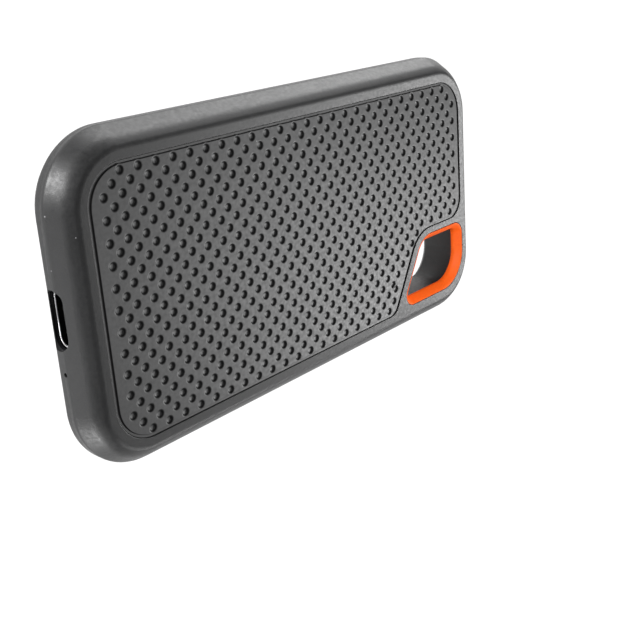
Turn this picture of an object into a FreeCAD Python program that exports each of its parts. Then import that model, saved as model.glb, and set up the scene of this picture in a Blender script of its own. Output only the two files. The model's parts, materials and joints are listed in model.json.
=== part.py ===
import FreeCAD, Part
import Sketcher
import math
import os

# Portable solid state drive, millimetres.
# +X runs from the port end to the loop end, +Z points out of the dotted face,
# and the origin is the middle of the flat rear face, on which the drive lies.

V = FreeCAD.Vector
doc = FreeCAD.newDocument("portable_drive")
sheet = doc.addObject("Spreadsheet::Sheet", "Sizes")

SIZES = [
    # case
    ("case_length", 100.5), ("case_width", 51.9), ("case_height", 9.4),
    ("case_corner", 11.5), ("seam_height", 4.7),
    ("facet_run", 2.35), ("facet_depth", 3.77),
    ("lip_run", 0.67), ("lip_slope", 1.38),
    ("lip_round", 1.5), ("facet_round", 5.0), ("side_round", 0.9),
    ("wall", 3.2), ("cavity_floor", 1.4), ("cavity_roof", 7.05),
    ("edge_break", 0.16),
    # dotted panel
    ("panel_half_x", 45.17), ("panel_half_y", 20.87), ("panel_corner", 6.2),
    ("panel_step_y", 6.23), ("panel_foot_x", 22.06), ("panel_step_corner", 3.6),
    ("panel_inner_corner", 7.1), ("panel_foot_corner", 2.6),
    ("panel_gap", 0.44), ("panel_groove", 0.2), ("panel_fit", 0.06), ("recess_floor", 8.25), ("film", 0.15), ("film_inset", 1.2),
    ("dot_step", 1.648), ("dot_across", 1.24), ("dot_deep", 0.30), ("dot_shift", 0.26),
    # corner loop
    ("slant_run", 0.57735), ("loop_top", 7.84), ("loop_right", 45.68),
    ("loop_bottom", 20.73), ("loop_foot_x", 24.37), ("loop_round_inner", 5.27),
    ("loop_round_top", 2.64), ("loop_round_outer", 7.09), ("loop_round_foot", 2.14),
    ("loop_bevel", 1.3), ("loop_bevel_deep", 1.22), ("loop_land", 0.1),
    ("loop_flange", 1.0), ("loop_seat", 7.55), ("loop_ledge", 8.2), ("loop_fit", 0.06),
    # seam
    ("groove_out", 1.1), ("groove_wide", 1.0), ("groove_deep", 1.4),
    ("tongue_high", 0.5), ("tongue_play", 0.05), ("seam_port_half", 6.2),
    # port
    ("port_wide", 9.2), ("port_high", 3.42), ("shell_wide", 8.94), ("shell_high", 3.2),
    ("shell_skin", 0.3), ("shell_front", 48.9), ("shell_long", 7.0),
    ("tongue_wide", 6.69), ("tongue_thick", 0.7), ("tongue_front", 48.4), ("base_thick", 0.5),
    ("contact_pitch", 0.5), ("contact_wide", 0.26), ("contact_thick", 0.08),
    ("contact_long", 4.2),
    ("seal_wide", 11.4), ("seal_tall", 4.6), ("seal_thick", 1.0),
    # status light
    ("light_y", 8.14), ("light_z", 5.1), ("light_bore", 0.7), ("light_sink", 0.2),
    # bridge board
    ("board_left", 46.0), ("board_right", 24.5), ("board_half_y", 21.0),
    ("board_bottom", 2.3), ("board_thick", 0.8), ("board_corner", 7.0),
    # storage module
    ("module_left", 36.3), ("module_long", 80.0), ("module_wide", 22.0),
    ("module_mid_y", 4.5), ("module_bottom", 4.1), ("module_thick", 0.8),
    ("socket_left", 40.3), ("socket_deep", 8.7), ("socket_wide", 23.0),
    ("socket_high", 2.4), ("chip_high", 1.2), ("pad_thick", 0.45),
    ("spreader_left", 24.0), ("spreader_long", 60.0), ("spreader_wide", 20.0),
    # screws
    ("boss_across", 4.0), ("boss_split", 5.7), ("thread", 1.6), ("clearance", 1.9),
    ("head_across", 3.0), ("head_bore", 3.2), ("head_sink", 1.1), ("head_high", 0.9),
    ("end_screw_x", 42.6), ("end_screw_y", 16.6), ("side_screw_y", 19.2),
    ("left_screw_x", 20.5), ("mid_screw_x", 12.0), ("far_screw_x", 37.5),
    ("board_screw_x", 27.0), ("board_screw_y", 19.3),
]
for row, (alias, number) in enumerate(SIZES, start=1):
    sheet.set("A%d" % row, alias.replace("_", " "))
    sheet.set("B%d" % row, repr(number))
    sheet.setAlias("B%d" % row, alias)
doc.recompute()


class Dim:
    """A length that carries both its value and its formula in the sheet."""

    def __init__(self, text, value):
        self.text = text
        self.value = float(value)

    def __add__(self, other):
        other = dim(other)
        return Dim("(%s + %s)" % (self.text, other.text), self.value + other.value)

    def __sub__(self, other):
        other = dim(other)
        return Dim("(%s - %s)" % (self.text, other.text), self.value - other.value)

    def __mul__(self, other):
        other = dim(other)
        return Dim("(%s * %s)" % (self.text, other.text), self.value * other.value)

    def __truediv__(self, other):
        other = dim(other)
        return Dim("(%s / %s)" % (self.text, other.text), self.value / other.value)

    def __neg__(self):
        return Dim("(-1 * %s)" % self.text, -self.value)


def dim(x):
    return x if isinstance(x, Dim) else Dim("%.5f" % x, x)


class Names:
    pass


S = Names()
for alias, number in SIZES:
    setattr(S, alias, Dim("Sizes." + alias, sheet.get(alias)))

NODES = []


def keep(obj, label):
    obj.Label = label
    NODES.append(obj)
    return obj


def new_body(name):
    return doc.addObject("PartDesign::Body", name)


def new_sketch(body, name, height=None, role="XY_Plane"):
    sk = body.newObject("Sketcher::SketchObject", name)
    plane = [f for f in body.Origin.OriginFeatures if f.Role == role][0]
    sk.AttachmentSupport = [(plane, "")]
    sk.MapMode = "FlatFace"
    if height is not None:
        sk.setExpression("AttachmentOffset.Base.z", height.text)
    return sk


def outline(sk, points, radii):
    """Closed outline with every corner placed from the sheet and rounded."""
    pts = [(dim(a), dim(b)) for a, b in points]
    n = len(pts)
    first = len(sk.Geometry)
    flat = [V(a.value, b.value, 0) for a, b in pts]
    for i in range(n):
        sk.addGeometry(Part.LineSegment(flat[i], flat[(i + 1) % n]), False)
    for i in range(n):
        sk.addConstraint(Sketcher.Constraint("Coincident", first + i, 2, first + (i + 1) % n, 1))
    for i in range(n):
        for kind, d in (("DistanceX", pts[i][0]), ("DistanceY", pts[i][1])):
            k = sk.addConstraint(Sketcher.Constraint(kind, -1, 1, first + i, 1, d.value))
            sk.setExpression("Constraints[%d]" % k, d.text)
    for i in range(n):
        r = dim(radii[i])
        if r.value <= 0:
            continue
        before, after = flat[(i - 1) % n], flat[(i + 1) % n]
        reach = min((before - flat[i]).Length, (after - flat[i]).Length) * 0.3
        a = flat[i] + (before - flat[i]).normalize() * reach
        b = flat[i] + (after - flat[i]).normalize() * reach
        sk.fillet(first + (i - 1) % n, first + i, a, b, r.value, True, True)
        arc = [j for j, g in enumerate(sk.Geometry) if isinstance(g, Part.ArcOfCircle)][-1]
        k = sk.addConstraint(Sketcher.Constraint("Radius", arc, r.value))
        sk.setExpression("Constraints[%d]" % k, r.text)


def rect(sk, x0, y0, x1, y1, r=0.0):
    outline(sk, [(x0, y0), (x1, y0), (x1, y1), (x0, y1)], [r] * 4)


def centred(sk, half_x, half_y, r=0.0):
    rect(sk, -half_x, -half_y, half_x, half_y, r)


def circles(sk, places, across):
    across = dim(across)
    for x, y in places:
        x, y = dim(x), dim(y)
        g = sk.addGeometry(Part.Circle(V(x.value, y.value, 0), V(0, 0, 1), across.value / 2), False)
        for kind, d in (("DistanceX", x), ("DistanceY", y)):
            k = sk.addConstraint(Sketcher.Constraint(kind, -1, 1, g, 3, d.value))
            sk.setExpression("Constraints[%d]" % k, d.text)
        k = sk.addConstraint(Sketcher.Constraint("Diameter", g, across.value))
        sk.setExpression("Constraints[%d]" % k, across.text)


def volume(body):
    return body.Shape.Volume if not body.Shape.isNull() else 0.0


def pad(body, sk, length, down=False):
    doc.recompute()
    before = volume(body)
    f = body.newObject("PartDesign::Pad", sk.Name + "_pad")
    f.Profile = sk
    f.setExpression("Length", dim(length).text)
    f.Reversed = down
    doc.recompute()
    assert volume(body) > before, "pad %s added nothing" % sk.Name
    return f


def pocket(body, sk, length, forward=False):
    doc.recompute()
    before = volume(body)
    f = body.newObject("PartDesign::Pocket", sk.Name + "_pocket")
    f.Profile = sk
    f.setExpression("Length", dim(length).text)
    f.Reversed = forward
    doc.recompute()
    assert volume(body) < before, "pocket %s cut nothing" % sk.Name
    return f


def edges_where(feature, test):
    found = []
    for i, e in enumerate(feature.Shape.Edges, start=1):
        if test(e):
            found.append("Edge%d" % i)
    assert found, "no edge found on " + feature.Name
    return found


def at_height(z, inside=None):
    def test(e):
        box = e.BoundBox
        if abs(box.ZMin - z.value) > 1e-4 or abs(box.ZMax - z.value) > 1e-4:
            return False
        return inside is None or inside(e.CenterOfMass)
    return test


def round_edges(body, base, test, radius, name):
    f = body.newObject("PartDesign::Fillet", name)
    f.Base = (base, edges_where(base, test))
    f.setExpression("Radius", dim(radius).text)
    doc.recompute()
    return f


def bevel_edges(body, base, test, one, two, name, flip=False):
    f = body.newObject("PartDesign::Chamfer", name)
    f.Base = (base, edges_where(base, test))
    f.ChamferType = "Two distances"
    f.setExpression("Size", dim(one).text)
    f.setExpression("Size2", dim(two).text)
    f.FlipDirection = flip
    doc.recompute()
    return f


def box(name, x0, y0, z0, dx, dy, dz):
    b = doc.addObject("Part::Box", name)
    for prop, d in (("Length", dx), ("Width", dy), ("Height", dz),
                    ("Placement.Base.x", x0), ("Placement.Base.y", y0), ("Placement.Base.z", z0)):
        b.setExpression(prop, dim(d).text)
    return b


def block(name, cx, cy, z0, dx, dy, dz):
    cx, cy, dx, dy = dim(cx), dim(cy), dim(dx), dim(dy)
    return box(name, cx - dx / 2, cy - dy / 2, z0, dx, dy, dz)


def rod(name, x, y, z0, across, high):
    c = doc.addObject("Part::Cylinder", name)
    for prop, d in (("Radius", dim(across) / 2), ("Height", high), ("Placement.Base.x", x),
                    ("Placement.Base.y", y), ("Placement.Base.z", z0)):
        c.setExpression(prop, dim(d).text)
    return c


def cut(name, base, tool):
    c = doc.addObject("Part::Cut", name)
    c.Base = base
    c.Tool = tool
    return c


def group(label, members):
    g = doc.addObject("Part::Compound", label)
    g.Links = members
    return keep(g, label)


half_x = S.case_length / 2
half_y = S.case_width / 2
top = S.case_height
mid = S.seam_height
zero = dim(0.0)

CASE_SCREWS = [
    (-S.end_screw_x, S.end_screw_y), (-S.end_screw_x, -S.end_screw_y),
    (-S.left_screw_x, S.side_screw_y), (-S.left_screw_x, -S.side_screw_y),
    (S.mid_screw_x, S.side_screw_y), (S.mid_screw_x, -S.side_screw_y),
    (S.far_screw_x, S.side_screw_y),
]
BOARD_SCREWS = [(-S.board_screw_x, S.board_screw_y), (-S.board_screw_x, -S.board_screw_y)]


def panel_outline(sk, grow):
    """Outline of the dotted panel's gap, moved outwards by grow."""
    grow = dim(grow)
    hx, hy = S.panel_half_x + grow, S.panel_half_y + grow
    step = -S.panel_step_y - grow
    side = grow * S.slant_run
    foot_x = S.panel_foot_x + side
    inner_x = S.panel_foot_x + (S.panel_half_y - S.panel_step_y) * S.slant_run + side
    outline(sk,
            [(-hx, -hy), (foot_x, -hy), (inner_x, step), (hx, step), (hx, hy), (-hx, hy)],
            [S.panel_corner + grow, S.panel_foot_corner + grow, S.panel_inner_corner - grow,
             S.panel_step_corner + grow, S.panel_corner + grow, S.panel_corner + grow])


def loop_outline(sk, grow):
    """Outline of the corner loop at the surface, moved outwards by grow."""
    grow = dim(grow)
    y_top, y_low = -S.loop_top + grow, -S.loop_bottom - grow
    right = S.loop_right + grow
    head_x = S.loop_foot_x + (S.loop_bottom - S.loop_top) * S.slant_run - grow * S.slant_run
    foot_x = S.loop_foot_x - grow / S.slant_run
    outline(sk,
            [(foot_x, y_low), (right, y_low), (right, y_top), (head_x, y_top)],
            [S.loop_round_foot + grow, S.loop_round_outer + grow,
             S.loop_round_top + grow, S.loop_round_inner + grow])


def case_half(body, upper):
    """Half of the case: outline, the two facets round the rim, soft creases."""
    sk = new_sketch(body, body.Name + "_outline", mid if upper else zero)
    centred(sk, half_x, half_y, S.case_corner)
    f = pad(body, sk, top - mid if upper else mid)
    face = top if upper else zero
    f = bevel_edges(body, f, at_height(face), S.facet_run, S.facet_depth, body.Name + "_facet", True)
    f = bevel_edges(body, f, at_height(face), S.lip_run, S.lip_slope, body.Name + "_lip_facet", True)
    heights = sorted(set(round(v.Z, 4) for v in f.Shape.Vertexes))
    crease = heights[-2] if upper else heights[1]
    f = round_edges(body, f, at_height(dim(crease)), S.facet_round, body.Name + "_facet_round")
    f = round_edges(body, f, at_height(face), S.lip_round, body.Name + "_lip_round")
    side = top - S.facet_depth if upper else S.facet_depth
    f = round_edges(body, f, at_height(side), S.side_round, body.Name + "_side_round")
    return f


def port_cutout(body, name):
    sk = new_sketch(body, name, -half_x - 1.0, "YZ_Plane")
    hy, hz = S.port_wide / 2, S.port_high / 2
    rect(sk, -hy, mid - hz, hy, mid + hz, hz - 0.02)
    return pocket(body, sk, S.wall + 1.4, forward=True)


# ---- front cover -----------------------------------------------------------
front = new_body("front_cover")
case_half(front, True)
sk = new_sketch(front, "front_cavity", mid)
centred(sk, half_x - S.wall, half_y - S.wall, S.case_corner - S.wall)
pocket(front, sk, S.cavity_roof - mid, forward=True)
sk = new_sketch(front, "panel_recess", top)
panel_outline(sk, S.panel_gap / 2)
pocket(front, sk, top - S.recess_floor)
sk = new_sketch(front, "loop_hole", top)
loop_outline(sk, S.loop_fit)
pocket(front, sk, top - S.loop_ledge)
sk = new_sketch(front, "loop_under", S.loop_ledge)
loop_outline(sk, S.loop_flange + S.loop_fit)
pocket(front, sk, S.loop_ledge - mid)
sk = new_sketch(front, "front_bosses", S.cavity_roof)
circles(sk, CASE_SCREWS, S.boss_across)
pad(front, sk, S.cavity_roof - S.boss_split, down=True)
sk = new_sketch(front, "front_bores", S.recess_floor)
circles(sk, CASE_SCREWS, S.clearance)
pocket(front, sk, S.recess_floor - S.boss_split)
sk = new_sketch(front, "head_bores", S.recess_floor)
circles(sk, CASE_SCREWS, S.head_bore)
pocket(front, sk, S.head_sink)
sk = new_sketch(front, "seam_tongue", mid)
t0 = S.groove_out + S.tongue_play
t1 = S.groove_out + S.groove_wide - S.tongue_play
centred(sk, half_x - t0, half_y - t0, S.case_corner - t0)
centred(sk, half_x - t1, half_y - t1, S.case_corner - t1)
pad(front, sk, S.tongue_high, down=True)
sk = new_sketch(front, "tongue_gap", mid)
rect(sk, -half_x - 1.0, -S.seam_port_half, -half_x + S.wall + 0.5, S.seam_port_half)
pocket(front, sk, S.tongue_high + 0.2)
port_cutout(front, "front_port")
sk = new_sketch(front, "light_hole", -half_x - 1.0, "YZ_Plane")
circles(sk, [(-S.light_y, S.light_z)], S.light_bore)
f = pocket(front, sk, S.wall + 1.4, forward=True)


def off_rim(p):
    return abs(p.x) < half_x.value - 4.0 and abs(p.y) < half_y.value - 4.0


f = round_edges(front, f, at_height(top, off_rim), S.edge_break, "front_edge_break")
keep(front, "front_cover")

# ---- rear cover ------------------------------------------------------------
rear = new_body("rear_cover")
case_half(rear, False)
sk = new_sketch(rear, "rear_cavity", mid)
centred(sk, half_x - S.wall, half_y - S.wall, S.case_corner - S.wall)
pocket(rear, sk, mid - S.cavity_floor)
sk = new_sketch(rear, "loop_tube", S.cavity_floor)
loop_outline(sk, -0.05)
pad(rear, sk, S.loop_seat - S.cavity_floor)
sk = new_sketch(rear, "loop_bore", S.loop_seat)
loop_outline(sk, -S.loop_bevel)
f = pocket(rear, sk, S.loop_seat + 1.0)


def in_loop(p):
    return p.x > 20.0 and -21.5 < p.y < -7.0 and p.x < 46.5


f = bevel_edges(rear, f, at_height(zero, in_loop), S.loop_bevel - S.loop_land, S.loop_bevel_deep,
                "rear_loop_bevel")
sk = new_sketch(rear, "rear_bosses", S.cavity_floor)
circles(sk, CASE_SCREWS, S.boss_across)
pad(rear, sk, S.boss_split - S.cavity_floor)
sk = new_sketch(rear, "board_posts", S.cavity_floor)
circles(sk, BOARD_SCREWS, S.boss_across)
pad(rear, sk, S.board_bottom - S.cavity_floor)
sk = new_sketch(rear, "rear_pilots", S.boss_split)
circles(sk, CASE_SCREWS, S.thread)
pocket(rear, sk, S.boss_split - 1.8)
sk = new_sketch(rear, "post_pilots", S.board_bottom)
circles(sk, BOARD_SCREWS, S.thread)
pocket(rear, sk, S.board_bottom - 0.8)
sk = new_sketch(rear, "seam_groove", mid)
g0 = S.groove_out
g1 = S.groove_out + S.groove_wide
centred(sk, half_x - g0, half_y - g0, S.case_corner - g0)
centred(sk, half_x - g1, half_y - g1, S.case_corner - g1)
pocket(rear, sk, S.groove_deep)
port_cutout(rear, "rear_port")
keep(rear, "rear_cover")

# ---- dotted panel ----------------------------------------------------------
plate = new_body("panel_plate")
sk = new_sketch(plate, "flange_outline", S.recess_floor + S.film)
panel_outline(sk, S.panel_gap / 2 - S.panel_fit)
pad(plate, sk, top - S.panel_groove - S.recess_floor - S.film)
sk = new_sketch(plate, "panel_outline", top - S.panel_groove)
panel_outline(sk, -S.panel_gap / 2)
f = pad(plate, sk, S.panel_groove)
round_edges(plate, f, at_height(top), S.edge_break, "panel_edge_break")

# Round dimples on a diagonal lattice that stop short of the loop.
LOOP_SIDE = {3: 25, 4: 18, 5: 17, 6: 16, 7: 15, 8: 14, 9: 13, 10: 12, 11: 13, 12: 12}
step, shift = S.dot_step.value, S.dot_shift.value
places = []
for j in range(-12, 13):
    widest = {12: 24, 11: 25, 10: 26}.get(abs(j), 26 if j % 2 == 0 else 25)
    for k in range(-widest, widest + 1):
        if (k + j) % 2 == 0 and k <= LOOP_SIDE.get(j, 26):
            places.append((k * step + shift, -j * step))
places.append((13.6 * step, -9.65 * step))
mouth, deep = S.dot_across.value / 2, S.dot_deep.value
ball_r = (mouth ** 2 + deep ** 2) / (2 * deep)
ball = Part.makeSphere(ball_r)
dots = doc.addObject("Part::Feature", "dots")
dots.Shape = Part.makeCompound(
    [ball.translated(V(x, y, top.value - deep + ball_r)) for x, y in places])
panel = doc.addObject("Part::Cut", "grip_panel")
panel.Base = plate
panel.Tool = dots
keep(panel, "grip_panel")

film = new_body("panel_adhesive")
sk = new_sketch(film, "film_outline", S.recess_floor)
panel_outline(sk, -S.film_inset)
pad(film, sk, S.film)
keep(film, "panel_adhesive")

# ---- loop ring -------------------------------------------------------------
ring = new_body("loop_trim")
sk = new_sketch(ring, "ring_flange", S.loop_seat)
loop_outline(sk, S.loop_flange)
pad(ring, sk, S.loop_ledge - S.loop_seat)
sk = new_sketch(ring, "ring_collar", S.loop_ledge)
loop_outline(sk, 0.0)
pad(ring, sk, top - S.loop_ledge)
sk = new_sketch(ring, "ring_bore", top)
loop_outline(sk, -S.loop_bevel)
f = pocket(ring, sk, top - S.loop_seat + 1.0)


def ring_inner(p):
    return (S.loop_foot_x.value + 0.2 < p.x < S.loop_right.value - S.loop_bevel.value * 0.5
            and -S.loop_bottom.value + S.loop_bevel.value * 0.5 < p.y
            < -S.loop_top.value - S.loop_bevel.value * 0.5)


inner = f.Shape.Faces
low_wire = None
for face in inner:
    if abs(face.CenterOfMass.z - top.value) < 1e-4 and len(face.Wires) == 2:
        low_wire = min(face.Wires, key=lambda w: w.Length)
marks = [e.CenterOfMass for e in low_wire.Edges]


def on_low_wire(p):
    return any((p - m).Length < 1e-4 for m in marks)


bevel_edges(ring, f, at_height(top, on_low_wire), S.loop_bevel - S.loop_land, S.loop_bevel_deep, "ring_bevel")
keep(ring, "loop_trim")

# ---- seals -----------------------------------------------------------------
gasket = new_body("seam_gasket")
sk = new_sketch(gasket, "gasket_ring", mid - S.groove_deep)
centred(sk, half_x - g0, half_y - g0, S.case_corner - g0)
centred(sk, half_x - g1, half_y - g1, S.case_corner - g1)
pad(gasket, sk, S.groove_deep - S.tongue_high)
sk = new_sketch(gasket, "gasket_gap", mid)
rect(sk, -half_x, -S.seam_port_half, -half_x + S.wall, S.seam_port_half)
pocket(gasket, sk, S.groove_deep + 0.5)
keep(gasket, "seam_gasket")

seal = new_body("port_seal")
sk = new_sketch(seal, "seal_ring", -half_x + S.wall, "YZ_Plane")
rect(sk, -S.seal_wide / 2, mid - S.seal_tall / 2, S.seal_wide / 2, mid + S.seal_tall / 2, 2.0)
rect(sk, -S.shell_wide / 2, mid - S.shell_high / 2, S.shell_wide / 2, mid + S.shell_high / 2,
     S.shell_high / 2 - 0.02)
pad(seal, sk, S.seal_thick)
keep(seal, "port_seal")

# ---- receptacle ------------------------------------------------------------
shell = new_body("port_shell")
sk = new_sketch(shell, "shell_outer", -S.shell_front, "YZ_Plane")
rect(sk, -S.shell_wide / 2, mid - S.shell_high / 2, S.shell_wide / 2, mid + S.shell_high / 2,
     S.shell_high / 2 - 0.02)
pad(shell, sk, S.shell_long)
sk = new_sketch(shell, "shell_inner", -S.shell_front, "YZ_Plane")
rect(sk, -S.shell_wide / 2 + S.shell_skin, mid - S.shell_high / 2 + S.shell_skin,
     S.shell_wide / 2 - S.shell_skin, mid + S.shell_high / 2 - S.shell_skin,
     S.shell_high / 2 - S.shell_skin - 0.02)
pocket(shell, sk, S.shell_long - S.shell_skin, forward=True)
keep(shell, "port_shell")

tongue = new_body("port_tongue")
back = -S.shell_front + S.shell_long - S.shell_skin
sk = new_sketch(tongue, "tongue_blade", -S.tongue_front, "YZ_Plane")
rect(sk, -S.tongue_wide / 2, mid - S.tongue_thick / 2, S.tongue_wide / 2, mid + S.tongue_thick / 2, 0.2)
pad(tongue, sk, back + S.tongue_front)
sk = new_sketch(tongue, "tongue_base", back - S.base_thick, "YZ_Plane")
rect(sk, -S.shell_wide / 2 + S.shell_skin + 0.05, mid - S.shell_high / 2 + S.shell_skin + 0.05,
     S.shell_wide / 2 - S.shell_skin - 0.05, mid + S.shell_high / 2 - S.shell_skin - 0.05, 1.2)
pad(tongue, sk, S.base_thick)
keep(tongue, "port_tongue")

strips = []
for i in range(12):
    y = S.contact_pitch * (i - 5.5) - S.contact_wide / 2
    for side, z in (("upper", mid + S.tongue_thick / 2), ("lower", mid - S.tongue_thick / 2 - S.contact_thick)):
        strips.append(box("contact_%s_%d" % (side, i), -S.tongue_front + 0.6, y, z,
                          S.contact_long, S.contact_wide, S.contact_thick))
group("port_contacts", strips)

# ---- status light ----------------------------------------------------------
pipe_rod = doc.addObject("Part::Cylinder", "pipe_rod")
pipe_rod.Placement = FreeCAD.Placement(V(0, 0, 0), FreeCAD.Rotation(V(0, 1, 0), 90))
pipe_rod.setExpression("Radius", (S.light_bore / 2).text)
pipe_rod.setExpression("Height", (S.wall - S.light_sink + 0.6).text)
pipe_rod.setExpression("Placement.Base.x", (-half_x + S.light_sink).text)
pipe_rod.setExpression("Placement.Base.y", (-S.light_y).text)
pipe_rod.setExpression("Placement.Base.z", S.light_z.text)
pipe_foot = block("pipe_foot", -S.board_left + 0.35, -S.light_y, 3.8, 1.8, 1.6, 2.2)
pipe = doc.addObject("Part::Fuse", "light_pipe")
pipe.Base = pipe_rod
pipe.Tool = pipe_foot
keep(pipe, "light_pipe")

# ---- bridge board ----------------------------------------------------------
board_top = S.board_bottom + S.board_thick
board = new_body("bridge_board")
sk = new_sketch(board, "board_outline", S.board_bottom)
outline(sk, [(-S.board_left, -S.board_half_y), (-S.board_right, -S.board_half_y),
             (-S.board_right, S.board_half_y), (-S.board_left, S.board_half_y)],
        [S.board_corner, 1.5, 1.5, S.board_corner])
pad(board, sk, S.board_thick)
sk = new_sketch(board, "boss_holes", board_top)
circles(sk, CASE_SCREWS[:2], S.boss_across + 0.4)
pocket(board, sk, S.board_thick + 0.2)
sk = new_sketch(board, "board_holes", board_top)
circles(sk, BOARD_SCREWS, S.clearance)
pocket(board, sk, S.board_thick + 0.2)
keep(board, "bridge_board")

keep(block("status_led", -S.board_left + 0.6, -S.light_y, board_top, 1.0, 0.8, 0.6), "status_led")
keep(block("bridge_chip", -33.0, -13.5, board_top, 8.0, 8.0, 0.85), "bridge_chip")
keep(block("power_chip", -41.0, -10.5, board_top, 3.0, 3.0, 0.75), "power_chip")
keep(block("crystal", -26.8, -10.0, board_top, 3.2, 2.5, 0.75), "crystal")
group("inductors", [block("inductor_%d" % i, x, y, board_top, 2.5, 2.0, 1.2)
                    for i, (x, y) in enumerate([(-38.5, -18.8), (-35.0, -19.2)])])
group("capacitors", [block("capacitor_%d" % i, x, y, board_top, 1.0, 0.5, 0.5)
                     for i, (x, y) in enumerate([
                         (-38.3, -9.5), (-38.3, -11.0), (-38.3, -12.5), (-38.3, -14.0),
                         (-34.0, -8.4), (-32.0, -8.4), (-30.0, -8.4),
                         (-28.0, -13.0), (-28.0, -14.5), (-28.0, -16.0)])])
group("resistors", [block("resistor_%d" % i, x, y, board_top, 1.0, 0.5, 0.35)
                    for i, (x, y) in enumerate([
                        (-26.0, -13.0), (-26.0, -14.5), (-26.0, -16.0), (-41.0, -13.3),
                        (-44.0, -10.5), (-44.0, -12.0), (-36.5, 18.6), (-34.5, 18.6)])])

# ---- storage module --------------------------------------------------------
module_y0 = S.module_mid_y - S.module_wide / 2
module_top = S.module_bottom + S.module_thick
end_x = -S.module_left + S.module_long
socket_body = block("socket_body", -S.socket_left + S.socket_deep / 2, S.module_mid_y, board_top,
                    S.socket_deep, S.socket_wide, S.socket_high)
socket_slot = box("socket_slot", -S.module_left, module_y0 - 0.05, S.module_bottom,
                  S.socket_deep, S.module_wide + 0.1, S.module_thick)
keep(cut("module_socket", socket_body, socket_slot), "module_socket")

module = new_body("module_board")
sk = new_sketch(module, "module_outline", S.module_bottom)
rect(sk, -S.module_left, module_y0, end_x, module_y0 + S.module_wide, 0.4)
pad(module, sk, S.module_thick)
sk = new_sketch(module, "module_notch", module_top)
circles(sk, [(end_x, S.module_mid_y)], 3.5)
pocket(module, sk, S.module_thick + 0.2)
sk = new_sketch(module, "module_key", module_top)
rect(sk, -S.module_left - 1.0, S.module_mid_y - 6.7, -S.module_left + 3.5, S.module_mid_y - 5.5)
pocket(module, sk, S.module_thick + 0.2)
keep(module, "module_board")

keep(block("module_controller", -15.0, S.module_mid_y, module_top, 12.0, 14.0, S.chip_high), "module_controller")
group("flash_chips", [block("flash_%d" % i, x, S.module_mid_y, module_top, 14.0, 18.0, S.chip_high)
                      for i, x in enumerate([5.0, 24.0])])
keep(block("module_power_chip", -26.0, 0.5, module_top, 4.0, 4.0, 0.8), "module_power_chip")
group("module_capacitors", [block("module_cap_%d" % i, x, y, module_top, 1.0, 0.5, 0.5)
                            for i, (x, y) in enumerate([
                                (-26.0, 5.5), (-26.0, 7.0), (-26.0, 8.5), (-24.0, 12.5),
                                (-5.5, -3.0), (-5.5, 0.0), (-5.5, 3.0), (-5.5, 6.0), (-5.5, 9.0), (-5.5, 12.0),
                                (36.0, 0.0), (36.0, 3.0), (36.0, 6.0), (36.0, 9.0)])])
pads_low = module_top + S.chip_high
group("thermal_pads",
      [block("pad_controller", -15.0, S.module_mid_y, pads_low, 11.5, 13.5, S.pad_thick),
       block("pad_flash_0", 5.0, S.module_mid_y, pads_low, 13.5, 17.5, S.pad_thick),
       block("pad_flash_1", 24.0, S.module_mid_y, pads_low, 13.5, 17.5, S.pad_thick)])
spreader_low = pads_low + S.pad_thick
keep(box("heat_spreader", -S.spreader_left, S.module_mid_y - S.spreader_wide / 2, spreader_low,
         S.spreader_long, S.spreader_wide, S.cavity_roof - spreader_low), "heat_spreader")

standoff = cut("module_standoff",
               rod("standoff_post", end_x, S.module_mid_y, S.cavity_floor, 4.4, S.module_bottom - S.cavity_floor),
               rod("standoff_bore", end_x, S.module_mid_y, S.cavity_floor + 0.6, 1.8, S.module_bottom))
keep(standoff, "module_standoff")


# ---- screws ----------------------------------------------------------------
def screws(label, places, seat, shank, across, head_across, head_high):
    """Pan-head screws with a six-sided recess, heads up, seated at one height."""
    body = Part.makeCylinder(head_across / 2, head_high, V(0, 0, seat))
    body = body.fuse(Part.makeCylinder(across / 2, shank, V(0, 0, seat - shank)))
    corner = head_across * 0.24
    hexagon = [V(corner * math.cos(math.radians(a)), corner * math.sin(math.radians(a)), seat + head_high * 0.4)
               for a in range(0, 360, 60)]
    drive = Part.Face(Part.makePolygon(hexagon + hexagon[:1])).extrude(V(0, 0, head_high))
    body = body.cut(drive).removeSplitter()
    f = doc.addObject("Part::Feature", label)
    copies = [body.translated(V(x.value, y.value, 0)) for x, y in places]
    f.Shape = copies[0] if len(copies) == 1 else Part.makeCompound(copies)
    return keep(f, label)


head_seat = S.recess_floor.value - S.head_sink.value
screws("case_screws", CASE_SCREWS, head_seat, head_seat - 2.4, S.thread.value,
       S.head_across.value, S.head_high.value)
screws("board_screws", BOARD_SCREWS, board_top.value, board_top.value - 1.0, S.thread.value,
       S.head_across.value, 0.75)
screws("module_screw", [(end_x, S.module_mid_y)], module_top.value, 2.4, 1.8, 4.6, 0.7)

# ---- check and write -------------------------------------------------------
doc.recompute()
for obj in doc.Objects:
    if "Invalid" in obj.State or "Error" in obj.State:
        raise SystemExit("failed object: " + obj.Name)
for obj in NODES:
    if obj.Shape.isNull() or not obj.Shape.isValid() or not obj.Shape.Solids:
        raise SystemExit("bad shape: " + obj.Label)
os.makedirs("parts", exist_ok=True)
for obj in NODES:
    obj.Shape.exportStep("parts/%s.step" % obj.Label)
    b = obj.Shape.BoundBox
    print("%-18s solids %3d volume %9.2f  x %.2f..%.2f y %.2f..%.2f z %.2f..%.2f" % (
        obj.Label, len(obj.Shape.Solids), obj.Shape.Volume, b.XMin, b.XMax, b.YMin, b.YMax, b.ZMin, b.ZMax))
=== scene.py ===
import json
import math

import bmesh
import bpy
from mathutils import Matrix, Vector
from mathutils.geometry import delaunay_2d_cdt

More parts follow.
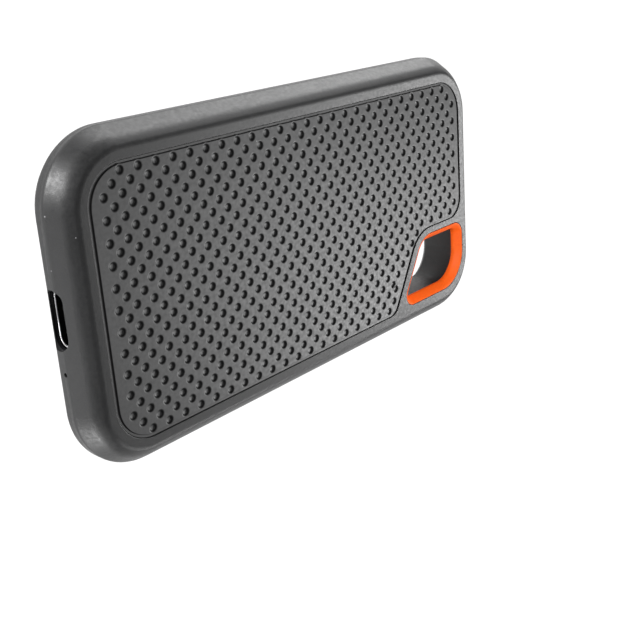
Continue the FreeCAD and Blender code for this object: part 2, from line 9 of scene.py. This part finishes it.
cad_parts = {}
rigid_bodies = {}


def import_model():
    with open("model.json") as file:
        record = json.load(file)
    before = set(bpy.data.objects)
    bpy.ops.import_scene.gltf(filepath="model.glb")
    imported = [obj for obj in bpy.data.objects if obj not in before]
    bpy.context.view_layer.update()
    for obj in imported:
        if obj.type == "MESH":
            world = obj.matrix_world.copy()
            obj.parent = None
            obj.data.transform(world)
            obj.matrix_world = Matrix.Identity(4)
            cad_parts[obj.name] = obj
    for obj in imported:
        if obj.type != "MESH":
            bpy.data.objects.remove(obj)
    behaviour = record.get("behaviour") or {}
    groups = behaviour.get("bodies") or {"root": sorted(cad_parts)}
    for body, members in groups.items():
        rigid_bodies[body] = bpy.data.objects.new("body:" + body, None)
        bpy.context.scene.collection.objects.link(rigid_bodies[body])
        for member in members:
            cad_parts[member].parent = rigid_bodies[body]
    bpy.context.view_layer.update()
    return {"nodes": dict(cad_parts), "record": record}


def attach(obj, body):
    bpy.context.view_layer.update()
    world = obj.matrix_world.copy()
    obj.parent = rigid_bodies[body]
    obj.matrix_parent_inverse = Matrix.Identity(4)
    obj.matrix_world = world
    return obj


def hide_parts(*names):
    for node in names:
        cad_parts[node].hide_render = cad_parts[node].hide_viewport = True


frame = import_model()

nodes = frame["nodes"]
slots = {s["node"]: s["material_slot"] for s in frame["record"]["subparts"]}
scene = bpy.context.scene
MM = 0.001


# ---------------------------------------------------------------- materials
class Mat:
    """A small helper round one node material."""

    def __init__(self, name):
        self.mat = bpy.data.materials.new(name)
        self.mat.use_nodes = True
        self.nt = self.mat.node_tree
        self.nt.nodes.clear()
        self.out = self.add("ShaderNodeOutputMaterial")
        self.bsdf = self.add("ShaderNodeBsdfPrincipled")
        self.link(self.bsdf.outputs["BSDF"], self.out.inputs["Surface"])
        self.coord = self.add("ShaderNodeTexCoord").outputs["Object"]

    def add(self, kind, **props):
        n = self.nt.nodes.new(kind)
        for k, v in props.items():
            setattr(n, k, v)
        return n

    def link(self, a, b):
        self.nt.links.new(a, b)

    def noise(self, scale, detail=3.0, rough=0.55, stretch=None):
        n = self.add("ShaderNodeTexNoise")
        n.inputs["Scale"].default_value = scale
        n.inputs["Detail"].default_value = detail
        n.inputs["Roughness"].default_value = rough
        src = self.coord
        if stretch:
            m = self.add("ShaderNodeMapping")
            m.inputs["Scale"].default_value = stretch
            self.link(src, m.inputs["Vector"])
            src = m.outputs["Vector"]
        self.link(src, n.inputs["Vector"])
        return n.outputs["Fac"]

    def ramp(self, fac, stops):
        r = self.add("ShaderNodeValToRGB")
        e = r.color_ramp.elements
        while len(e) < len(stops):
            e.new(0.5)
        for el, (pos, col) in zip(e, stops):
            el.position = pos
            el.color = (*col, 1.0) if len(col) == 3 else col
        self.link(fac, r.inputs["Fac"])
        return r.outputs["Color"]

    def span(self, fac, a, b, lo=0.0, hi=1.0):
        m = self.add("ShaderNodeMapRange")
        m.inputs["From Min"].default_value = lo
        m.inputs["From Max"].default_value = hi
        m.inputs["To Min"].default_value = a
        m.inputs["To Max"].default_value = b
        self.link(fac, m.inputs["Value"])
        return m.outputs["Result"]

    def mix(self, fac, a, b):
        m = self.add("ShaderNodeMix", data_type="RGBA")
        self.link(fac, m.inputs[0])
        for val, sock in ((a, m.inputs[6]), (b, m.inputs[7])):
            if isinstance(val, tuple):
                sock.default_value = (*val, 1.0)
            else:
                self.link(val, sock)
        return m.outputs[2]

    def bump(self, height, strength, distance, below=None):
        b = self.add("ShaderNodeBump")
        b.inputs["Strength"].default_value = strength
        b.inputs["Distance"].default_value = distance
        self.link(height, b.inputs["Height"])
        if below is not None:
            self.link(below, b.inputs["Normal"])
        return b.outputs["Normal"]

    def specks(self, scale, size):
        v = self.add("ShaderNodeTexVoronoi")
        v.inputs["Scale"].default_value = scale
        self.link(self.coord, v.inputs["Vector"])
        near = self.span(v.outputs["Distance"], 1.0, 0.0, size * 0.5, size)
        pick = self.add("ShaderNodeSeparateColor")
        self.link(v.outputs["Color"], pick.inputs["Color"])
        rare = self.add("ShaderNodeMath", operation="GREATER_THAN")
        self.link(pick.outputs["Red"], rare.inputs[0])
        rare.inputs[1].default_value = 0.9
        both = self.add("ShaderNodeMath", operation="MULTIPLY")
        self.link(near, both.inputs[0])
        self.link(rare.outputs[0], both.inputs[1])
        return both.outputs[0]

    def inside(self, axis, middle, half):
        """1 where the coordinate lies within half of middle (mm), else 0."""
        split = self.add("ShaderNodeSeparateXYZ")
        self.link(self.coord, split.inputs[0])
        c = self.add("ShaderNodeMath", operation="COMPARE")
        self.link(split.outputs[axis], c.inputs[0])
        c.inputs[1].default_value = middle * MM
        c.inputs[2].default_value = half * MM
        return c.outputs[0]

    def both(self, a, b):
        m = self.add("ShaderNodeMath", operation="MULTIPLY")
        self.link(a, m.inputs[0])
        self.link(b, m.inputs[1])
        return m.outputs[0]

    def put(self, socket, value):
        s = self.bsdf.inputs[socket]
        if isinstance(value, (int, float)):
            s.default_value = value
        elif isinstance(value, tuple):
            s.default_value = (*value, 1.0)
        else:
            self.link(value, s)


def moulded(name, dark, light, rough, grain, dust=True, paint_throat_shade=False):
    """Satin moulded plastic: spark-eroded grain, slow tone drift, sparse dust; optionally near-black painted shade on
    the USB-C cut-out walls.
    """
    m = Mat(name)
    drift = m.noise(55.0, 2.0)
    fine = m.noise(5200.0, 2.0, 0.6)
    coarse = m.noise(1700.0, 2.0, 0.5)
    tone = m.mix(m.span(fine, 0.0, 1.0, 0.3, 0.7), dark, light)
    tone = m.mix(m.span(drift, 0.0, 0.35, 0.35, 0.65), tone, tuple(c * 1.25 for c in light))
    if dust:
        tone = m.mix(m.specks(420.0, 0.055), tone, (0.32, 0.32, 0.33))
    if paint_throat_shade:
        # painted shade: the walls of the USB-C cut-out are coloured near-black with their reflection turned down,
        # standing in for the shadow inside the opening
        deep = m.both(m.both(m.inside("Y", 0.0, 4.63), m.inside("Z", 4.7, 1.74)), m.inside("X", -47.8, 1.75))
        tone = m.mix(deep, tone, (0.006, 0.006, 0.0065))
        m.put("Specular IOR Level", m.span(deep, 0.5, 0.06))
    m.put("Base Color", tone)
    m.put("Roughness", m.span(coarse, rough - 0.05, rough + 0.06, 0.3, 0.7))
    m.put("IOR", 1.5)
    n = m.bump(coarse, grain * 0.6, 0.03 * MM)
    n = m.bump(fine, grain, 0.014 * MM, n)
    m.put("Normal", n)
    return m.mat


def plain(name, dark, light, rough, scale=900.0, metal=0.0, bump=0.15, stretch=None, **extra):
    """Generic fine surface: two close tones, uneven roughness, slight relief."""
    m = Mat(name)
    f = m.noise(scale, 3.0, 0.55, stretch)
    m.put("Base Color", m.mix(m.span(f, 0.0, 1.0, 0.3, 0.7), dark, light))
    m.put("Roughness", m.span(f, max(rough - 0.07, 0.02), rough + 0.07, 0.3, 0.7))
    m.put("Metallic", metal)
    for k, v in extra.items():
        m.put(k, v)
    m.put("Normal", m.bump(f, bump, 0.01 * MM))
    return m.mat


def drawn_shell(name):
    """Drawn steel, bright at the cut rim, with painted shade making it near-black inside the receptacle."""
    m = Mat(name)
    f = m.noise(900.0, 3.0, 0.55, (1, 12, 12))
    bright = m.mix(m.span(f, 0.0, 1.0, 0.3, 0.7), (0.72, 0.72, 0.73), (0.84, 0.84, 0.85))
    # painted shade: the steel turns near-black from just behind the rim, standing in for the shadow inside the
    # receptacle
    m.put("Base Color", m.mix(m.inside("X", -44.9, 3.9), bright, (0.02, 0.02, 0.021)))
    m.put("Roughness", m.span(f, 0.36, 0.48, 0.3, 0.7))
    m.put("Metallic", 1.0)
    m.put("Normal", m.bump(f, 0.1, 0.01 * MM))
    return m.mat


def circuit(name, mask, copper):
    """Solder mask over copper runs, with small bare pads."""
    m = Mat(name)
    v = m.add("ShaderNodeTexVoronoi", distance="MANHATTAN", feature="DISTANCE_TO_EDGE")
    v.inputs["Scale"].default_value = 520.0
    m.link(m.coord, v.inputs["Vector"])
    runs = m.span(v.outputs["Distance"], 1.0, 0.0, 0.05, 0.09)
    tone = m.mix(runs, mask, copper)
    tone = m.mix(m.specks(900.0, 0.22), tone, (0.75, 0.55, 0.2))
    m.put("Base Color", tone)
    m.put("Roughness", m.span(m.noise(1500.0), 0.3, 0.42))
    m.put("Normal", m.bump(runs, 0.3, 0.02 * MM))
    return m.mat


MATS = {
    # the case plastic carries painted shade on the USB-C cut-out walls
    "case_plastic": moulded("case_plastic", (0.018, 0.0182, 0.0187), (0.026, 0.0262, 0.0268), 0.44, 0.6, paint_throat_shade=True),
    "panel_plastic": moulded("panel_plastic", (0.02, 0.0202, 0.0207), (0.028, 0.0282, 0.0288), 0.52, 0.3),
    "trim_orange": plain("trim_orange", (0.95, 0.118, 0.005), (1.0, 0.145, 0.009), 0.62, 1800.0, 0.0, 0.12, **{"Specular IOR Level": 0.3}),
    "film": plain("film", (0.7, 0.68, 0.58), (0.8, 0.78, 0.68), 0.5, 700.0),
    "seal_rubber": plain("seal_rubber", (0.012, 0.012, 0.012), (0.022, 0.022, 0.023), 0.7, 1500.0),
    "port_metal": drawn_shell("port_metal"),
    "port_plastic": plain("port_plastic", (0.008, 0.008, 0.008), (0.014, 0.014, 0.015), 0.45, 1600.0),
    "contact_gold": plain("contact_gold", (0.85, 0.58, 0.2), (0.95, 0.68, 0.28), 0.22, 2500.0, 1.0, 0.05),
    "light_clear": plain("light_clear", (0.03, 0.03, 0.032), (0.05, 0.05, 0.052), 0.2, 1500.0),
    "board_green": circuit("board_green", (0.006, 0.05, 0.022), (0.02, 0.11, 0.05)),
    "board_black": circuit("board_black", (0.006, 0.007, 0.009), (0.018, 0.02, 0.024)),
    "chip_black": plain("chip_black", (0.012, 0.012, 0.013), (0.024, 0.024, 0.026), 0.5, 3500.0, 0.0, 0.3),
    "led_white": plain("led_white", (0.75, 0.74, 0.66), (0.85, 0.84, 0.78), 0.3, 1500.0),
    "part_grey": plain("part_grey", (0.09, 0.09, 0.1), (0.16, 0.16, 0.17), 0.5, 2500.0),
    "part_tan": plain("part_tan", (0.36, 0.26, 0.16), (0.48, 0.36, 0.24), 0.4, 2500.0),
    "can_metal": plain("can_metal", (0.6, 0.6, 0.6), (0.75, 0.75, 0.75), 0.28, 1200.0, 1.0, 0.1, (1, 8, 1)),
    "pad_grey": plain("pad_grey", (0.28, 0.34, 0.4), (0.36, 0.42, 0.48), 0.75, 1500.0, 0.0, 0.4),
    "spreader_metal": plain("spreader_metal", (0.7, 0.71, 0.72), (0.82, 0.83, 0.84), 0.32, 900.0, 1.0, 0.15, (0.05, 1, 1)),
    "standoff_brass": plain("standoff_brass", (0.6, 0.42, 0.14), (0.72, 0.52, 0.2), 0.3, 1200.0, 1.0, 0.1, (1, 1, 14)),
    "screw_steel": plain("screw_steel", (0.3, 0.3, 0.31), (0.45, 0.45, 0.46), 0.33, 1500.0, 1.0, 0.12),
}
for name, ob in nodes.items():
    ob.data.materials.clear()
    ob.data.materials.append(MATS[slots[name]])


# ------------------------------------------------------------------- pieces
def add_piece(name, mesh, node, material=None):
    ob = bpy.data.objects.new(name, mesh)
    scene.collection.objects.link(ob)
    mesh.materials.append(material or MATS[slots[node]])
    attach(ob, "root")
    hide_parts(node)
    return ob


def smooth(mesh, degrees):
    mesh.polygons.foreach_set("use_smooth", [True] * len(mesh.polygons))
    mesh.set_sharp_from_angle(angle=math.radians(degrees))


def soft_edges(ob):
    w = ob.modifiers.new("face_normals", "WEIGHTED_NORMAL")
    w.mode = "FACE_AREA"
    w.weight = 50
    w.keep_sharp = True


def finished(node, name, degrees=30.0):
    """The node's own shape, welded, with smooth creases where the real edge is soft."""
    bm = bmesh.new()
    bm.from_mesh(nodes[node].data)
    bmesh.ops.remove_doubles(bm, verts=bm.verts, dist=2e-7)
    bmesh.ops.dissolve_degenerate(bm, edges=bm.edges, dist=1e-8)
    mesh = bpy.data.meshes.new(name)
    bm.to_mesh(mesh)
    bm.free()
    smooth(mesh, degrees)
    ob = add_piece(name, mesh, node)
    soft_edges(ob)
    return ob


def rounded(points, radii, per_corner):
    """Points of a closed outline with rounded corners, the same number at each corner."""
    out = []
    n = len(points)
    for i in range(n):
        p = Vector(points[i])
        a = (Vector(points[i - 1]) - p).normalized()
        b = (Vector(points[(i + 1) % n]) - p).normalized()
        half = a.angle(b) / 2
        r = radii[i]
        start = p + a * (r / math.tan(half))
        centre = p + (a + b).normalized() * (r / math.sin(half))
        sweep = math.pi - 2 * half
        turn = a.x * b.y - a.y * b.x
        first = start - centre
        for k in range(per_corner + 1):
            t = sweep * k / per_corner * (-1 if turn > 0 else 1)
            c, s = math.cos(t), math.sin(t)
            out.append(centre + Vector((first.x * c - first.y * s, first.x * s + first.y * c)))
    return out


SLANT = 0.57735


def panel_line(grow, per_corner=14):
    hx, hy, step = 45.17 + grow, 20.87 + grow, -6.23 - grow
    foot = 22.06 + grow * SLANT
    inner = 22.06 + (20.87 - 6.23) * SLANT + grow * SLANT
    return rounded([(-hx, -hy), (foot, -hy), (inner, step), (hx, step), (hx, hy), (-hx, hy)],
                   [6.2 + grow, 2.6 + grow, 7.1 - grow, 3.6 + grow, 6.2 + grow, 6.2 + grow], per_corner)


def dot_places():
    side = {3: 25, 4: 18, 5: 17, 6: 16, 7: 15, 8: 14, 9: 13, 10: 12, 11: 13, 12: 12}
    step, shift = 1.648, 0.26
    out = []
    for j in range(-12, 13):
        widest = {12: 24, 11: 25, 10: 26}.get(abs(j), 26 if j % 2 == 0 else 25)
        for k in range(-widest, widest + 1):
            if (k + j) % 2 == 0 and k <= side.get(j, 26):
                out.append((k * step + shift, -j * step))
    out.append((13.6 * step, -9.65 * step))
    return out


DIMPLE_R, DIMPLE_D, DIMPLE_B, DIMPLE_N = 0.58, 0.26, 0.06, 10.0


def dimple(r):
    """Depth and slope of one round dimple at radius r (mm): hollow floor, steep wall, eased rim."""
    q = r / DIMPLE_R
    t = q ** DIMPLE_N
    deep = DIMPLE_D + DIMPLE_B * (1 - q * q)
    slope = 2 * DIMPLE_B * q / DIMPLE_R / (1 + t)
    if r > 1e-6:
        slope += deep * DIMPLE_N * t / (r * (1 + t) ** 2)
    return -deep / (1 + t), slope


def dimpled_panel():
    """The dotted panel: flat plate with a rolled edge and soft round dimples."""
    top, low = 9.4, 8.4
    seg = 16
    radii = [0.86, 0.74, 0.665, 0.61, 0.56, 0.51, 0.44, 0.26]
    edge = [(0.0, 0.0, 0.0), (0.05, -0.012, 0.25), (0.10, -0.05, 0.62), (0.135, -0.11, 1.05), (0.15, -0.20, 1.5)]
    flat_pts, flat_edges = [], []
    line = panel_line(-0.22 - edge[-1][0])
    n = len(line)
    flat_pts += [Vector((p.x, p.y)) for p in line]
    flat_edges += [(i, (i + 1) % n) for i in range(n)]
    spots = dot_places()
    for x, y in spots:
        base = len(flat_pts)
        for k in range(seg):
            a = 2 * math.pi * k / seg
            flat_pts.append(Vector((x + radii[0] * math.cos(a), y + radii[0] * math.sin(a))))
        flat_edges += [(base + k, base + (k + 1) % seg) for k in range(seg)]
    pts, _, tris, _, _, _ = delaunay_2d_cdt(flat_pts, flat_edges, [], 0, 1e-7)
    verts = [(p.x, p.y, top) for p in pts]
    normals = [(0.0, 0.0, 1.0)] * len(verts)
    faces = []
    grid = {}
    for x, y in spots:
        grid.setdefault((round(x / 3.0), round(y / 3.0)), []).append((x, y))

    def in_spot(px, py):
        cx, cy = round(px / 3.0), round(py / 3.0)
        for i in (-1, 0, 1):
            for j in (-1, 0, 1):
                for x, y in grid.get((cx + i, cy + j), ()):
                    if (px - x) ** 2 + (py - y) ** 2 < (radii[0] * 0.98) ** 2:
                        return True
        return False

    def in_plate(px, py):
        hit = False
        for i in range(n):
            a, b = line[i], line[(i + 1) % n]
            if (a.y > py) != (b.y > py) and px < (b.x - a.x) * (py - a.y) / (b.y - a.y) + a.x:
                hit = not hit
        return hit

    for t in tris:
        cx = sum(pts[i].x for i in t) / len(t)
        cy = sum(pts[i].y for i in t) / len(t)
        if not in_spot(cx, cy) and in_plate(cx, cy):
            faces.append(tuple(t))
    for s, (x, y) in enumerate(spots):
        upper = [n + s * seg + k for k in range(seg)]
        for r in radii[1:]:
            z, slope = dimple(r)
            base = len(verts)
            for k in range(seg):
                a = 2 * math.pi * k / seg
                c, d = math.cos(a), math.sin(a)
                verts.append((x + r * c, y + r * d, top + z))
                normals.append(tuple(Vector((-slope * c, -slope * d, 1.0)).normalized()))
            lower = [base + k for k in range(seg)]
            for k in range(seg):
                faces.append((upper[k], upper[(k + 1) % seg], lower[(k + 1) % seg], lower[k]))
            upper = lower
        verts.append((x, y, top + dimple(0.0)[0]))
        normals.append((0.0, 0.0, 1.0))
        faces += [(upper[k], upper[(k + 1) % seg], len(verts) - 1) for k in range(seg)]
    loop = list(range(n))
    rim = panel_line(1.0)
    base_line = panel_line(0.0)
    out = [(Vector((q.x, q.y)) - Vector((p.x, p.y))).normalized() for p, q in zip(base_line, rim)]
    reach = edge[-1][0]
    flange = 9.2 - top
    side = edge[1:] + [(reach, flange, 1.5708), (reach, flange, 0.0), (reach + 0.38, flange, 0.0),
                       (reach + 0.38, flange, 1.5708), (reach + 0.38, low - top, 1.5708)]
    for i, (d, z, tip) in enumerate(side):
        ring_pts = panel_line(-0.22 - reach + d)
        base = len(verts)
        verts += [(p.x, p.y, top + z) for p in ring_pts]
        normals += [(o.x * math.sin(tip), o.y * math.sin(tip), math.cos(tip)) for o in out]
        nxt = [base + k for k in range(n)]
        crease = i > 0 and side[i - 1][:2] == (d, z)
        for k in range(n if not crease else 0):
            faces.append((loop[(k + 1) % n], loop[k], nxt[k], nxt[(k + 1) % n]))
        loop = nxt
    base = len(verts)
    verts += [verts[i] for i in loop]
    normals += [(0.0, 0.0, -1.0)] * n
    faces.append(tuple(base + i for i in reversed(range(n))))
    used = sorted({i for f in faces for i in f})
    place = {v: i for i, v in enumerate(used)}
    mesh = bpy.data.meshes.new("dotted_panel")
    mesh.from_pydata([tuple(c * MM for c in verts[i]) for i in used], [],
                     [tuple(place[i] for i in f) for f in faces])
    smooth(mesh, 180.0)
    mesh.normals_split_custom_set_from_vertices([normals[i] for i in used])
    print("panel", len(spots), "dots,", sum(len(p.vertices) - 2 for p in mesh.polygons), "triangles")
    return add_piece("dotted_panel", mesh, "grip_panel")


dimpled_panel()
for node, name in (("front_cover", "case_front"), ("rear_cover", "case_rear"), ("loop_trim", "loop_ring"),
                   ("port_shell", "receptacle_shell"), ("port_tongue", "receptacle_tongue"),
                   ("light_pipe", "status_window")):
    finished(node, name)


# ------------------------------------------------------------ floor, camera
def floor():
    mesh = bpy.data.meshes.new("floor")
    bm = bmesh.new()
    bmesh.ops.create_grid(bm, x_segments=8, y_segments=8, size=3.0)
    bm.to_mesh(mesh)
    bm.free()
    ob = bpy.data.objects.new("floor", mesh)
    ob.location.z = -0.00005
    scene.collection.objects.link(ob)
    m = Mat("floor_paper")
    f = m.noise(40.0, 3.0)
    m.put("Base Color", m.mix(f, (0.90, 0.90, 0.90), (0.93, 0.93, 0.93)))
    m.put("Roughness", 0.9)
    m.put("Specular IOR Level", 0.1)
    mesh.materials.append(m.mat)
    return ob


floor_ob = floor()
floor_ob.visible_diffuse = False

cam_data = bpy.data.cameras.new("camera")
cam_data.sensor_fit = "HORIZONTAL"
cam_data.sensor_width = 36.0
cam_data.lens = 950.25 / 640 * 36.0
cam_data.shift_x = (320 - 249.16) / 640
cam_data.shift_y = -(320 - 274.17) / 640
cam_data.clip_start = 0.005
cam = bpy.data.objects.new("camera", cam_data)
scene.collection.objects.link(cam)
rv = Vector((0.24755731, -0.77452331, -0.20236449))
turn = Matrix.Rotation(rv.length, 3, rv.normalized())
flip = Matrix(((1, 0, 0), (0, -1, 0), (0, 0, -1)))
cam_rot = (turn @ flip).transposed() @ flip
unit = 1.648 * MM
cam_pos = Vector((unit * (-62.872 - 8.73), -unit * (-21.0995 - 5.02), 9.4 * MM - unit * -64.0098))
cam.matrix_world = Matrix.Translation(cam_pos) @ cam_rot.to_4x4()
scene.camera = cam

# ------------------------------------------------------------------- lights
world = bpy.data.worlds.new("studio")
world.use_nodes = True
world.node_tree.nodes["Background"].inputs["Color"].default_value = (1, 1, 1, 1)
world.node_tree.nodes["Background"].inputs["Strength"].default_value = 0.04
scene.world = world
scene.view_settings.view_transform = "Standard"
scene.view_settings.look = "None"

part_set = bpy.data.collections.new("lit_part")
floor_set = bpy.data.collections.new("lit_floor")
floor_set.objects.link(floor_ob)
ring_set = bpy.data.collections.new("lit_ring")
ring_set.objects.link(bpy.data.objects["loop_ring"])
shell_set = bpy.data.collections.new("lit_shell")
shell_set.objects.link(bpy.data.objects["receptacle_shell"])
case_set = bpy.data.collections.new("lit_case")
for name in ("case_front", "case_rear"):
    case_set.objects.link(bpy.data.objects[name])
panel_set = bpy.data.collections.new("lit_panel")
for ob in list(scene.objects):
    if ob.type == "MESH" and ob is not floor_ob:
        part_set.objects.link(ob)
        if ob.name not in ("case_front", "case_rear"):
            panel_set.objects.link(ob)


def softbox(name, azimuth, elevation, distance, width, height, power, only=None, target=(0, 0, 0.004), blockers=None):
    data = bpy.data.lights.new(name, "AREA")
    data.shape = "RECTANGLE"
    data.size = width
    data.size_y = height
    data.energy = power
    ob = bpy.data.objects.new(name, data)
    scene.collection.objects.link(ob)
    a, e = math.radians(azimuth), math.radians(elevation)
    aim = Vector(target)
    ob.location = aim + Vector((math.cos(a) * math.cos(e), math.sin(a) * math.cos(e), math.sin(e))) * distance
    ob.rotation_euler = (aim - ob.location).to_track_quat("-Z", "Y").to_euler()
    if only is not None:
        ob.light_linking.receiver_collection = only
    if blockers is not None:
        ob.light_linking.blocker_collection = blockers
    return ob


softbox("key", -24, 31, 0.8, 0.20, 0.07, 5.4, panel_set)
softbox("panel_top", 0, 88, 1.2, 0.8, 0.8, 3.0, panel_set)
softbox("case_key", -10, 30, 0.9, 0.5, 0.2, 5.8, case_set)
softbox("lower_side", -62, 26, 0.6, 0.5, 0.16, 1.6, case_set, (-0.03, -0.02, 0.006))
softbox("far_side", 58, -5, 0.5, 0.5, 0.16, 1.7, case_set, blockers=part_set)
softbox("corner", 147, 4, 0.4, 0.10, 0.03, 1.7, case_set)
softbox("near_corner", -128, 2, 0.5, 0.2, 0.03, 1.1, case_set)
softbox("near_end", -160, 2, 0.5, 0.3, 0.02, 0.28, case_set)
softbox("ring_front", 150, 50, 0.5, 0.2, 0.2, 2.4, ring_set)
softbox("port_front", 180, 0, 1.5, 0.02, 0.02, 80.0, shell_set, (-0.0489, 0.0, 0.0047))
softbox("floor_top", 0, 90, 1.2, 1.6, 1.6, 26.0, floor_set, blockers=floor_set)
